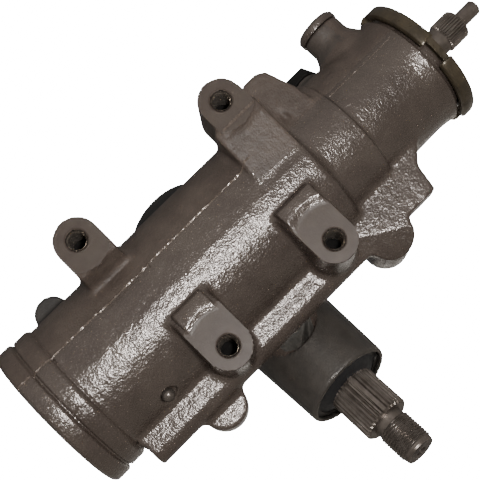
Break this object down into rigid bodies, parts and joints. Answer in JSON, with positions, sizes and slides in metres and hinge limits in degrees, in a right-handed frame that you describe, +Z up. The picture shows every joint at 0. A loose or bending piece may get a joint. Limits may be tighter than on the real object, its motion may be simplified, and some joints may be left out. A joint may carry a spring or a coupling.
{
  "type": "steering gearbox",
  "caption": "Recirculating-ball power steering gear: sand-cast housing with frame lugs, serrated input shaft and a serrated, threaded sector shaft that swings the steering arm.",
  "frame": {"origin": "midway between the two upper frame-bolt holes, on the plane of the machined lug faces", "axes": "+X along the worm towards the input shaft, -Y out of the lug faces towards the vehicle frame, +Z up, with the sector shaft pointing down and leaning 19 degrees towards the frame"},
  "size_m": [0.339, 0.1536, 0.2207],
  "materials": {
    "cast_paint": "taupe metallic paint over sand-cast iron",
    "black_iron": "black painted casting",
    "black_steel": "black oxide",
    "brown_steel": "phosphated forged steel",
    "machined_steel": "turned and ground",
    "bearing_steel": "ground and polished",
    "spring_steel": "oil-blackened",
    "seal_rubber": "moulded nitrile",
    "seal_plastic": "machined fluoropolymer",
    "gasket_fibre": "pressed fibre sheet",
    "bearing_bronze": "bored bronze",
    "seat_brass": "turned brass"
  },
  "bodies": {
    "housing": {"housing": "cast_paint", "adjuster_locknut": "cast_paint", "pressure_port_plug": "cast_paint", "side_cover": "black_iron", "side_cover_bolts": "black_steel", "lash_adjuster_nut": "black_steel", "return_port_plug": "black_steel", "adjuster_plug": "machined_steel", "end_plug": "machined_steel", "passage_ball_plug": "bearing_steel", "worm_thrust_races": "bearing_steel", "worm_thrust_bearing": "bearing_steel", "adjuster_thrust_races": "bearing_steel", "adjuster_thrust_bearing": "bearing_steel", "stub_needle_bearing": "bearing_steel", "sector_needle_bearing": "bearing_steel", "sector_seal_washers": "bearing_steel", "end_plug_retaining_ring": "spring_steel", "stub_retaining_ring": "spring_steel", "sector_retaining_ring": "spring_steel", "lash_adjuster_screw": "spring_steel", "end_plug_o_ring": "seal_rubber", "adjuster_plug_o_ring": "seal_rubber", "stub_seal": "seal_rubber", "stub_dust_seal": "seal_rubber", "sector_inner_seal": "seal_rubber", "sector_outer_seal": "seal_rubber", "side_cover_gasket": "gasket_fibre", "side_cover_bushing": "bearing_bronze", "pressure_port_seat": "seat_brass", "return_port_seat": "seat_brass"},
    "piston": {"rack_piston": "machined_steel", "piston_ring": "seal_plastic", "piston_ring_o_ring": "seal_rubber", "rack_piston_plug": "machined_steel", "ball_return_guide": "spring_steel", "ball_guide_clamp": "spring_steel", "ball_guide_screws": "spring_steel", "recirculating_balls": "bearing_steel"},
    "worm": {"worm_shaft": "machined_steel", "valve_body": "machined_steel", "valve_body_rings": "seal_plastic", "valve_body_pin": "spring_steel", "torsion_bar": "spring_steel", "torsion_bar_pin": "spring_steel"},
    "input": {"stub_shaft": "brown_steel", "valve_spool": "machined_steel", "spool_drive_pin": "spring_steel"},
    "sector": {"sector_shaft": "brown_steel"}
  },
  "joints": [
    {"name": "worm_turn", "type": "hinge", "parent": "housing", "child": "worm", "pos_m": [-0.00105, 0.0512, -0.0515], "axis": [1, 0, 0], "range_deg": [-598, 598]},
    {"name": "piston_slide", "type": "slide", "parent": "housing", "child": "piston", "axis": [1, 0, 0], "range_m": [-0.01835, 0.01835]},
    {"name": "sector_swing", "type": "hinge", "parent": "housing", "child": "sector", "pos_m": [-0.00105, 0.098, -0.06762], "axis": [0, 0.3256, 0.9455], "range_deg": [-42, 42]},
    {"name": "valve_twist", "type": "hinge", "parent": "worm", "child": "input", "pos_m": [-0.00105, 0.0512, -0.0515], "axis": [1, 0, 0], "range_deg": [-7, 7], "stiffness_Nm_per_rad": 60}
  ],
  "couplings": [
    {"joint": "piston_slide", "follows": "worm_turn", "m_per_rad": -0.0017507},
    {"joint": "sector_swing", "follows": "worm_turn", "ratio": -0.070028}
  ]
}
